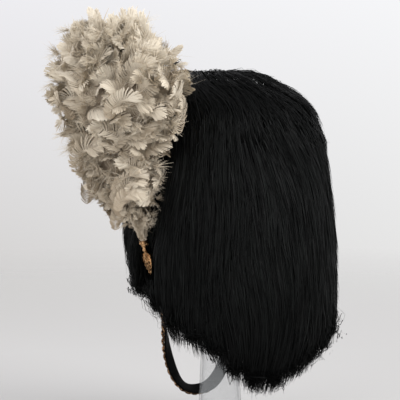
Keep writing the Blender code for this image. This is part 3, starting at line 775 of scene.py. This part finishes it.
def bandPath():
    # middles and outward directions of the band
    path = []
    for i in range(strap["steps"] + 1):
        turn = math.pi * i / strap["steps"]
        low = math.sin(turn)
        side = math.copysign(1.0, math.cos(turn))
        x = strap["half"] * side * abs(math.cos(turn)) ** strap["fullness"]
        z = strap["low"] + strap["bend"] * (1 - low)
        flare = strap["flare"] * strap["lean"][0] * (1 - low) ** strap["turn"]
        sideways = side * (flare + strap["sideways"] * (1 - low * low))
        facing = Vector((sideways, -strap["ahead"], -strap["downward"] * low**3)).normalized()
        path.append((Vector((x, strap["forward"], z)), facing))
    lean = Vector(strap["lean"]).normalized()
    ends = [(Vector(place), lean) for place in strap["ends"]]
    turned = Vector((-1, 1, 1))
    return ends + path + [(point * turned, facing * turned) for point, facing in reversed(ends)]


def squaredPath(path):
    # the same points, with directions that stand square to the path
    made = []
    for i, (point, facing) in enumerate(path):
        along = (path[min(i + 1, len(path) - 1)][0] - path[max(i - 1, 0)][0]).normalized()
        across = along.cross(facing).normalized()
        made.append((point, across.cross(along).normalized()))
    return made


def makeStrap(look):
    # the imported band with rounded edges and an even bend
    shape = mergedCopy("chin_strap")
    bmesh.ops.join_triangles(
        shape, faces=shape.faces, angle_face_threshold=0.6, angle_shape_threshold=3.1,
        cmp_seam=False, cmp_sharp=False, cmp_uvs=False, cmp_vcols=False, cmp_materials=False,
    )
    sharp = [e for e in shape.edges if len(e.link_faces) == 2 and e.calc_face_angle(0) > 0.9]
    bmesh.ops.bevel(
        shape, geom=sharp, offset=strap["edgeRound"], offset_type="OFFSET", affect="EDGES",
        segments=2, profile=0.5, material=-1, clamp_overlap=True,
    )
    made = addPiece("strap_band", finishedMesh("strap_band", shape), look)
    even = made.modifiers.new("even", "SUBSURF")
    even.levels = even.render_levels = 2
    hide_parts("chin_strap")
    print("strap made")


chain = {
    "wire": 0.0036,
    "overlap": 1.2,  # length that each link shares with the next, in wires
    "pitch": 0.0105,
    "width": 0.0160,
    "rise": 0.0029,  # the links' middles over the middle of the band
    "twist": 0.0017,
    "top": 0.188,
    "corners": 36,  # round one link
}


def linkShape(halfLong, halfWide):
    # one twisted oval of round wire, lying along x with its face to z
    turns = [math.tau * i / chain["corners"] for i in range(chain["corners"])]
    oval = [
        (halfLong * math.cos(turn), halfWide * math.sin(turn), chain["twist"] * math.sin(2 * turn))
        for turn in turns
    ]
    return curveMesh("link", chain["wire"] / 2, 2, [oval], True)


def makeChain(look):
    line = [(p + f * chain["rise"], f) for p, f in squaredPath(bandPath()) if p.z <= chain["top"]]
    lengths = np.concatenate(([0.0], np.cumsum([(b[0] - a[0]).length for a, b in zip(line, line[1:])])))
    count = math.floor(lengths[-1] / chain["pitch"])
    pitch = lengths[-1] / count
    halfLong = (pitch + chain["wire"] * chain["overlap"]) / 2
    link = linkShape(halfLong, (chain["width"] - chain["wire"]) / 2)
    shape = bmesh.new()
    for i in range(count):
        at = (i + 0.5) * pitch
        k = int(np.searchsorted(lengths, at)) - 1
        share = (at - lengths[k]) / (lengths[k + 1] - lengths[k])
        place = line[k][0].lerp(line[k + 1][0], share)
        facing = line[k][1].lerp(line[k + 1][1], share)
        along = (line[k + 1][0] - line[k][0]).normalized()
        across = along.cross(facing).normalized()
        up = across.cross(along)
        old = set(shape.verts)
        shape.from_mesh(link)
        fresh = [v for v in shape.verts if v not in old]
        turned = Matrix((along, across, up)).transposed().to_4x4()
        bmesh.ops.transform(shape, matrix=Matrix.Translation(place) @ turned, verts=fresh)
    bmesh.ops.recalc_face_normals(shape, faces=shape.faces)
    made = addPiece("chain_links", finishedMesh("chain_links", shape), look)
    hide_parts("curb_chain")
    print("links", count)


plume = {
    "width": 0.207,  # what the rows of the outline are shares of
    "out": 0.122,  # the foot's place to the wearer's left
    "back": -0.018,  # and towards the back
    "feathers": 360,
    "barbs": 54,
    "length": (0.050, 0.078),
    "halfWidth": 0.0185,
    "barbWidth": 0.0013,
    "cup": (0.00, 0.40),  # how far the vane's edges bend down, as shares of its half width
    "layers": (0.80, 1.00),  # tips as shares of the outline
    "reach": 0.005,  # tips past the outline
    "headroom": 0.030,  # these feathers stop this far below the plume's top
    "levels": (0.09, 0.89),  # lowest tips, and the range over it
    "swing": 0.75,  # how far tips turn along the surface
    "droop": (-0.25, 0.75),  # and downwards
    "loose": 0.38,
    "steps": 24,  # along one feather
    "bend": 1.4,
    "ragged": 0.10,
    "crestRagged": 0.16,
    "crestLean": 0.004,  # how far the top feathers lean to the camera
    "core": 0.52,  # the dense middle's share of the outline
    "coreTop": 0.80,  # and of the height
}
plumeRows = np.array([
    # level, out, back, across, along
    (0.000, 0.00, 0.00, 0.035, 0.035),
    (0.100, 0.07, 0.01, 0.135, 0.188),
    (0.207, 0.18, 0.02, 0.213, 0.317),
    (0.353, 0.24, 0.03, 0.261, 0.372),
    (0.467, 0.26, 0.07, 0.319, 0.502),
    (0.598, 0.28, 0.10, 0.367, 0.604),
    (0.706, 0.30, 0.10, 0.386, 0.628),
    (0.771, 0.30, 0.10, 0.367, 0.560),
    (0.836, 0.33, 0.09, 0.300, 0.454),
    (0.900, 0.35, 0.06, 0.222, 0.329),
    (0.966, 0.32, 0.06, 0.145, 0.222),
    (1.000, 0.30, 0.06, 0.060, 0.085),
])
plumeLow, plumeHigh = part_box("plume")


def plumeOutline(levels):
    columns = [np.interp(levels, plumeRows[:, 0], plumeRows[:, i]) for i in range(1, 5)]
    out, back, across, along = (column * plume["width"] for column in columns)
    heights = plumeLow.z + levels * (plumeHigh.z - plumeLow.z)
    middles = np.stack((plume["out"] + out, plume["back"] + back, heights), axis=-1)
    return middles, across, along


def featherMesh(name, roots, first, last, faces, lengths, halfWidths, tints, ragged):
    # a feather bends from its first direction to its last; its barbs are ribbons on both sides
    count, barbs, steps = len(roots), plume["barbs"], plume["steps"]
    bend = np.linspace(0, 1, steps)[None, :, None] ** plume["bend"]
    directions = unit(first[:, None] * (1 - bend) + last[:, None] * bend)
    spine = roots[:, None] + np.cumsum(directions, axis=1) * (lengths[:, None, None] / steps)
    upward = unit(faces[:, None] - directions * (faces[:, None] * directions).sum(-1, keepdims=True))
    across = np.cross(directions, upward)

    levels = 1 - 0.90 * np.linspace(1.0, 0.0, barbs) ** 1.5  # closer together at the tip
    index = np.clip((levels * (steps - 1)).astype(int), 0, steps - 1)
    width = np.interp(levels, [0.0, 0.10, 0.35, 0.70, 0.92, 1.0], [0.35, 0.55, 0.85, 1.0, 1.0, 0.90])
    lean = np.interp(levels, [0.0, 0.60, 0.80, 0.90, 0.96, 1.0], [0.40, 0.42, 0.55, 0.80, 1.10, 1.52])

    def both(values):
        return np.repeat(values[:, index][:, :, None], 2, axis=2)

    rooted, wayAlong, wayUp = both(spine), both(directions), both(upward)
    wayAcross = both(across) * np.array([1.0, -1.0])[None, None, :, None]
    # barbs part into a few locks along each edge
    knots = chance.normal(0, 1, (count, 11, 2))
    spot = np.linspace(0, 9.999, barbs)
    low = spot.astype(int)
    past = (spot - low)[None, :, None]
    locks = knots[:, low] * (1 - past) + knots[:, low + 1] * past
    shape = (count, barbs, 2)
    reach = halfWidths[:, None, None] * width[None, :, None] * (1 + ragged * locks * 0.6)
    reach = reach * chance.uniform(1 - ragged, 1 + ragged * 0.4, shape)
    leaning = lean[None, :, None] + locks * 0.10 + chance.normal(0, 0.07, shape)
    out = np.array([0.0, 0.35, 0.70, 1.0])
    curve = leaning[..., None] + 0.18 * out**2
    sideways = np.cos(curve) * out * reach[..., None]
    forwards = np.sin(curve) * out * reach[..., None]
    cup = chance.uniform(*plume["cup"], (count, 1, 1, 1))
    loose = chance.normal(0, 0.0007, shape)
    droop = -(out**2) * reach[..., None] * cup + out * (locks * 0.0012 + loose)[..., None]
    points = (
        rooted[..., None, :]
        + wayAcross[..., None, :] * sideways[..., None]
        + wayAlong[..., None, :] * forwards[..., None]
        + wayUp[..., None, :] * droop[..., None]
    )
    points = points.reshape(-1, 4, 3)
    travel = unit(np.gradient(points, axis=1))
    faced = np.broadcast_to(wayUp[..., None, :], (*shape, 4, 3)).reshape(-1, 4, 3)
    flat = unit(np.cross(travel, faced))
    taper = np.array([1.0, 1.1, 1.15, 0.80])
    widths = plume["barbWidth"] * taper[None] * chance.uniform(0.85, 1.15, (len(points), 1))
    # painted shade: barbs darker at their roots and low on the feather, lighter towards their tips
    depth = (0.10 + 0.72 * levels)[None, :, None, None] * np.array([0.80, 0.90, 1.0, 1.10])
    each = 0.10 * locks + chance.normal(0, 0.10, shape)
    shade = np.broadcast_to(depth + each[..., None], (*shape, 4)).reshape(-1, 4)
    tint = np.broadcast_to(tints[:, None, None, None], (*shape, 4)).reshape(-1, 4)
    return ribbonMesh(name, points, flat, widths, shade=shade, tint=tint)


topFeathers = np.array([
    # root across, root height, tip across, tip height, nearness, half width
    (-0.160, 0.540, -0.174, 0.5820, 0.006, 0.0080),
    (-0.157, 0.535, -0.168, 0.5790, 0.002, 0.0070),
    (-0.140, 0.510, -0.143, 0.5740, 0.000, 0.0140),
    (-0.128, 0.505, -0.129, 0.5800, 0.004, 0.0160),
    (-0.118, 0.505, -0.117, 0.5820, 0.012, 0.0160),
    (-0.108, 0.500, -0.105, 0.5770, 0.003, 0.0145),
    (-0.114, 0.490, -0.122, 0.5640, 0.030, 0.0160),
    (-0.100, 0.495, -0.100, 0.5600, 0.026, 0.0130),
    (-0.178, 0.520, -0.200, 0.5520, 0.010, 0.0110),
    (-0.186, 0.510, -0.214, 0.5330, 0.010, 0.0110),
    (-0.160, 0.500, -0.180, 0.5500, 0.024, 0.0140),
    (-0.078, 0.506, -0.050, 0.5310, 0.014, 0.0064),
])
wisps = np.array([
    # root across, root height, tip across, tip height, nearness, width
    (-0.160, 0.545, -0.149, 0.5800, 0.006, 0.0024),
    (-0.160, 0.540, -0.162, 0.5780, 0.010, 0.0016),
    (-0.112, 0.560, -0.110, 0.5830, 0.010, 0.0016),
    (-0.103, 0.550, -0.094, 0.5760, 0.012, 0.0018),
    (-0.104, 0.545, -0.097, 0.5700, 0.010, 0.0014),
    (-0.182, 0.540, -0.190, 0.5640, 0.010, 0.0014),
    (-0.070, 0.508, -0.066, 0.5260, 0.004, 0.0008),
])


def beside(across, height, near):
    # the place at this distance across the camera's view and this height, this far nearer than
    # the plume's middle line
    middle, _, _ = plumeOutline(np.array([(height - plumeLow.z) / (plumeHigh.z - plumeLow.z)]))
    sideways, nearer = np.array(viewSideways), np.array(viewNearer)
    flat = middle[0] * np.array([1.0, 1.0, 0.0])
    return flat + sideways * (across - flat @ sideways) + nearer * near + np.array([0.0, 0.0, height])


def endsOf(rows, lean):
    # roots, tips and widths from the rows of topFeathers or wisps
    roots = np.array([beside(across, height, near) for across, height, _, _, near, _ in rows])
    tips = np.array([beside(across, height, near + lean) for _, _, across, height, near, _ in rows])
    return roots, tips, rows[:, 5]


def crestPiece(look):
    # single feathers that stand up from the plume's top
    roots, tips, widths = endsOf(topFeathers, plume["crestLean"])
    travel = tips - roots
    lengths = np.linalg.norm(travel, axis=1) - widths * 0.9
    way = unit(travel)
    lean = unit(way + chance.normal(0, 0.06, way.shape))
    faces = unit(np.array([[*viewNearer[:2], 0.15]]) + chance.normal(0, 0.30, way.shape))
    tints = 0.3 + 0.7 * chance.random(len(widths))
    ragged = plume["crestRagged"]
    mesh = featherMesh("plume_crest", roots, way, lean, faces, lengths, widths, tints, ragged)
    addPiece("plume_crest", mesh, look)
    print("crest made")


def wispPiece(look):
    # loose barbs past the outline
    start, end, widths = endsOf(wisps, 0.0)
    share = np.linspace(0, 1, 9)[None, :, None]
    sag = np.sin(share * math.pi) * chance.normal(0, 0.0016, (len(wisps), 1, 1))
    sideways = np.array(viewSideways)
    points = start[:, None] * (1 - share) + end[:, None] * share + sag * sideways
    sides = np.broadcast_to(sideways, points.shape)
    widths = widths[:, None] * np.linspace(1.0, 0.25, 9)[None]
    mesh = ribbonMesh("plume_wisps", points, sides, widths, shade=0.45, tint=0.4)
    addPiece("plume_wisps", mesh, look)
    print("wisps made")


knot = {
    "middle": (-0.0615, 0.5050, 0.050),  # across, height and nearness
    "wire": 0.0006,
    "strands": 7,
    "corners": 24,
    # size, shift and turns of the open loop, and of the strands in the tangle
    "loop": 0.0040,
    "loopShift": (0.0045, 0.0030),
    "loopTurns": 0.9,
    "tangle": 0.55,  # of the loop's size
    "tangleShift": 0.0016,
    "tangleTurns": 1.5,
}


def wirePiece(look):
    # the end of the binding wire: a small tangle with one open loop
    strands = []
    middle = knot["middle"]
    last = knot["corners"] - 1
    for i in range(knot["strands"]):
        size, turns, shift = knot["loop"], knot["loopTurns"], knot["loopShift"]
        if i > 0:
            size, turns = size * knot["tangle"], knot["tangleTurns"]
            shift = chance.normal(0, knot["tangleShift"], 2)
        phase = chance.uniform(0, math.tau, 3)
        strand = []
        for j in range(knot["corners"]):
            turn = math.tau * j / last * turns
            across = middle[0] + shift[0] + size * math.cos(turn + phase[0])
            height = middle[1] + shift[1] + size * 0.7 * math.sin(turn + phase[1])
            near = middle[2] + size * 0.6 * math.sin(turn * 1.3 + phase[2])
            strand.append(beside(across, height, near))
        strands.append(strand)
    mesh = curveMesh("binding_wire", knot["wire"], 1, strands, False)
    mesh.shade_smooth()
    addPiece("binding_wire", mesh, look)
    print("wire made")


footFeathers = {
    "count": 38,
    "length": (0.030, 0.064),
    "halfWidth": 0.0085,
    "depth": 0.005,  # of the lowest roots below the socket's mouth
    "rise": 0.010,  # of the highest over them
    "ring": 0.0016,  # radius on which they stand
    "ragged": 0.14,
}


def footPieces(look):
    # longer feathers that start in the cup and open upwards
    count = footFeathers["count"]
    turns = np.arange(count) * goldenTurn
    outward = np.stack((np.cos(turns), np.sin(turns), np.zeros(count)), axis=1)
    up = np.array([0.0, 0.0, 1.0])
    start = np.array(socket["mouth"]) - up * footFeathers["depth"]
    rise = chance.uniform(0, footFeathers["rise"], (count, 1))
    roots = start + outward * footFeathers["ring"] + up * rise
    spreading = chance.uniform(0.1, 1.0, (count, 1))
    first = unit(up + outward * 0.20 * spreading + np.array([0.20, 0.05, 0.0]))
    last = unit(up * 1.5 + outward * (0.15 + 0.75 * spreading) + np.array([0.35, 0.12, 0.0]))
    # none turns in towards the fur
    last[:, 0] = np.where(outward[:, 0] < -0.2, np.maximum(last[:, 0], 0.02), last[:, 0])
    last = unit(last)
    faces = unit(outward + up * 0.3 + chance.normal(0, 0.3, (count, 3)))
    lengths = chance.uniform(*footFeathers["length"], count)
    widths = footFeathers["halfWidth"] * chance.uniform(0.7, 1.3, count)
    tints = 0.4 + 0.6 * chance.random(count)
    ragged = footFeathers["ragged"]
    mesh = featherMesh("plume_foot", roots, first, last, faces, lengths, widths, tints, ragged)
    addPiece("plume_foot", mesh, look)
    print("foot feathers", count)


def plumeFeathers(look):
    count = plume["feathers"]
    number = np.arange(count)
    lowest, span = plume["levels"]
    levels = lowest + span * ((number + 0.5) / count) ** 0.80
    turns = goldenTurn * number + chance.normal(0, 0.2, count)
    middles, across, along = plumeOutline(levels)
    side = np.stack((across * np.cos(turns), along * np.sin(turns), np.zeros(count)), axis=1)
    outward = unit(side)
    around = np.stack((-outward[:, 1], outward[:, 0], np.zeros(count)), axis=1)
    tucked = np.clip(-outward[:, :1], 0, 1)
    size = np.clip(0.34 + across / plume["width"] * 2.2, 0, 1)
    lengths = chance.uniform(*plume["length"], count) * size
    up = np.array([0.0, 0.0, 1.0])
    high = (levels**5)[:, None]
    # tips point outwards and any way along the surface, upwards only near the top
    swing = chance.normal(0, plume["swing"], (count, 1))
    droop = chance.uniform(*plume["droop"], (count, 1))
    first = unit(outward * 0.55 + up * 0.85 + chance.normal(0, 0.15, (count, 3)))
    last = outward * (0.80 - 0.35 * tucked) + around * swing * (1 - high)
    last = unit(last + up * (1.7 * high - droop * (1 - high)))
    faces = unit(outward + up * 0.45 + chance.normal(0, plume["loose"], (count, 3)))
    share = chance.uniform(*plume["layers"], (count, 1))
    tips = middles + side * share * (1 - 0.03 * tucked)
    tips = tips + outward * (plume["reach"] * chance.uniform(-0.5, 1.0, (count, 1))) * (1 - tucked)
    # roots are where feathers of these lengths and bends have to start
    bend = np.linspace(0, 1, plume["steps"])[None, :, None] ** plume["bend"]
    travel = unit(first[:, None] * (1 - bend) + last[:, None] * bend).mean(axis=1)
    widths = plume["halfWidth"] * size * chance.uniform(0.70, 1.15, count)
    roots = tips - travel * lengths[:, None] - last * widths[:, None] * 0.7
    top = plumeHigh.z - plume["headroom"]
    ends = roots[:, 2] + travel[:, 2] * lengths
    roots[:, 2] -= np.clip(ends - top, 0, None)
    tints = chance.random(count)
    for i in range(2):
        name = f"plume_feathers_{i + 1}"
        half = number % 2 == i
        parts = (values[half] for values in (roots, first, last, faces, lengths, widths, tints))
        made = addPiece(name, featherMesh(name, *parts, plume["ragged"]), look)
        if i == 0:
            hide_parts("plume")
    print("feathers", count)


softDown = {
    "tufts": 460,
    "barbs": 30,
    "length": (0.010, 0.021),
    "width": 0.0005,
    "spread": 0.42,  # of one tuft's barbs
    "levels": (0.06, 0.93),
    "layers": (0.62, 0.90),
}


def plumeDown(look):
    # loose tufts of soft barbs between the feathers
    tufts, barbs = softDown["tufts"], softDown["barbs"]
    levels = chance.uniform(*softDown["levels"], tufts)
    turns = chance.uniform(0, math.tau, tufts)
    middles, across, along = plumeOutline(levels)
    side = np.stack((across * np.cos(turns), along * np.sin(turns), np.zeros(tufts)), axis=1)
    roots = middles + side * chance.uniform(*softDown["layers"], (tufts, 1))
    ways = unit(unit(side) * 0.9 + chance.normal(0, 0.55, (tufts, 3)) + np.array([0, 0, 0.25]))
    sags = chance.normal(0, 0.35, (tufts, 3))
    lengths = chance.uniform(*softDown["length"], tufts) * np.clip(0.4 + across / plume["width"] * 2.0, 0, 1)
    which = np.repeat(np.arange(tufts), barbs)
    count = len(which)
    way = unit(ways[which] + chance.normal(0, softDown["spread"], (count, 3)))
    sag = sags[which] * 1.6 + chance.normal(0, 0.45, (count, 3))
    reach = (lengths[which] * chance.uniform(0.6, 1.1, count))[:, None, None]
    share = np.linspace(0, 1, 5)[None, :, None]
    start = roots[which] + chance.normal(0, 0.0010, (count, 3))
    points = start[:, None] + (way[:, None] * share + sag[:, None] * share**2 * 0.5) * reach
    sides = unit(np.cross(way, chance.normal(0, 1, (count, 3))))[:, None] + np.zeros((1, 5, 1))
    widths = softDown["width"] * np.array([[1.0, 1.0, 0.9, 0.7, 0.3]]) * chance.uniform(0.7, 1.2, (count, 1))
    # painted shade: darker at a barb's root, lighter towards its tip, with random tone
    shade = np.linspace(0.45, 0.95, 5)[None] + chance.normal(0, 0.08, (count, 1))
    tint = chance.random(tufts)[which][:, None]
    mesh = ribbonMesh("plume_down", points, sides, widths, shade=shade, tint=tint)
    addPiece("plume_down", mesh, look)
    print("down barbs", count)


def plumeCore(look):
    # the dense middle, thin at the socket and at its top
    shape = bmesh.new()
    bmesh.ops.create_uvsphere(shape, u_segments=24, v_segments=20, radius=1.0)
    for vertex in shape.verts:
        level = (vertex.co.z + 1) / 2 * plume["coreTop"]
        flat = Vector((vertex.co.x, vertex.co.y))
        middle, across, along = plumeOutline(np.array([level]))
        outward = flat.normalized() if flat.length > 1e-6 else Vector((0, 0))
        closing = 1 - 0.8 * smoothstep(level, 0.60, plume["coreTop"])
        cover = plume["core"] * float(smoothstep(level, 0.08, 0.36) * closing)
        place = Vector(middle[0])
        vertex.co = place + Vector((outward.x * across[0] * cover, outward.y * along[0] * cover, 0))
    bmesh.ops.recalc_face_normals(shape, faces=shape.faces)
    addPiece("plume_core", finishedMesh("plume_core", shape), look)


room = {
    "floorRadius": 4.0,
    # colours low and high behind the hat, on the camera's left and right
    "left": ((0.57, 0.555, 0.53, 1), (0.87, 0.865, 0.900, 1)),
    "right": ((0.72, 0.715, 0.70, 1), (0.945, 0.950, 0.970, 1)),
    "rise": (-0.16, 0.08),
    "across": (-0.13, 0.13),
}
lamps = {
    # place, size and power
    "windowLight": ((-0.5, 2.4, 1.5), 1.6, 44),
    "fillLight": ((2.4, 0.8, 1.2), 1.6, 20),
}
lampTarget = (0, 0, 0.3)


def makeFloor():
    shape = bmesh.new()
    bmesh.ops.create_circle(shape, cap_ends=True, segments=96, radius=room["floorRadius"])
    mesh = bpy.data.meshes.new("floor")
    shape.to_mesh(mesh)
    shape.free()
    floor = bpy.data.objects.new("floor", mesh)
    bpy.context.scene.collection.objects.link(floor)
    mesh.materials.append(makeFloorLook())


def makeWorld():
    world = bpy.data.worlds.new("paleRoom")
    world.use_nodes = True
    bpy.context.scene.world = world
    sky = Nodes(world.node_tree)
    way = sky.node("ShaderNodeTexCoord", None, None, "Generated")
    height = sky.node("ShaderNodeSeparateXYZ", None, {"Vector": way}, "Z")
    rise = sky.mapped(height, *room["rise"])
    dot = {"operation": "DOT_PRODUCT"}
    sideways = sky.node("ShaderNodeVectorMath", dot, {0: way, 1: viewSideways}, "Value")
    across = sky.mapped(sideways, *room["across"])
    colour = sky.blend(across, sky.blend(rise, *room["left"]), sky.blend(rise, *room["right"]))
    background = sky.tree.nodes["Background"]
    sky.put(background.inputs["Color"], colour)
    sky.put(background.inputs["Strength"], 1.0)


def addLamp(name, place, size, power):
    data = bpy.data.lights.new(name, "AREA")
    data.shape = "SQUARE"
    data.size = size
    data.energy = power
    lamp = bpy.data.objects.new(name, data)
    lamp.location = place
    lamp.rotation_euler = (Vector(lampTarget) - Vector(place)).to_track_quat("-Z", "Y").to_euler()
    bpy.context.scene.collection.objects.link(lamp)


def makeStage():
    makeFloor()
    makeWorld()
    for name, values in lamps.items():
        addLamp(name, *values)
    bpy.context.scene.view_settings.view_transform = "Standard"
    print("stage made")


camera = {
    "azimuth": 140.0,
    "elevation": 3.0,
    "distance": 2.5,
    "field": 0.560,  # width of the view at the target
    "sensor": 36.0,
    "target": (0.0214, -0.018, 0.319),
}


def makeCamera():
    turn = math.radians(camera["azimuth"])
    rise = math.radians(camera["elevation"])
    level = math.cos(rise)
    back = Vector((math.sin(turn) * level, -math.cos(turn) * level, math.sin(rise)))
    data = bpy.data.cameras.new("view")
    data.sensor_width = camera["sensor"]
    data.lens = camera["sensor"] * camera["distance"] / camera["field"]
    made = bpy.data.objects.new("view", data)
    made.location = Vector(camera["target"]) + back * camera["distance"]
    made.rotation_euler = (-back).to_track_quat("-Z", "Y").to_euler()
    bpy.context.scene.collection.objects.link(made)
    bpy.context.scene.camera = made


makeCamera()
makeStage()

acrylic = makeAcrylicLook()
gilt = makeGiltLook()
finishes = {
    "cap_wall": makeHideLook(),
    "plume_socket": gilt,
    "stand_post": acrylic,
    "stand_base": acrylic,
    "stand_top": acrylic,
}
for node, finish in finishes.items():
    nodes[node].data.materials.clear()
    nodes[node].data.materials.append(finish)
print("solids finished")

makeFur(makeFurLook(), makeSkinLook())
feather = makeFeatherLook()
plumeCore(makeCoreLook())
plumeFeathers(feather)
plumeDown(feather)
footPieces(feather)
crestPiece(feather)
wispPiece(feather)
wirePiece(makeWireLook())
makeSocket(gilt)
makeStrap(makeLeatherLook())
makeChain(makeBronzeLook())
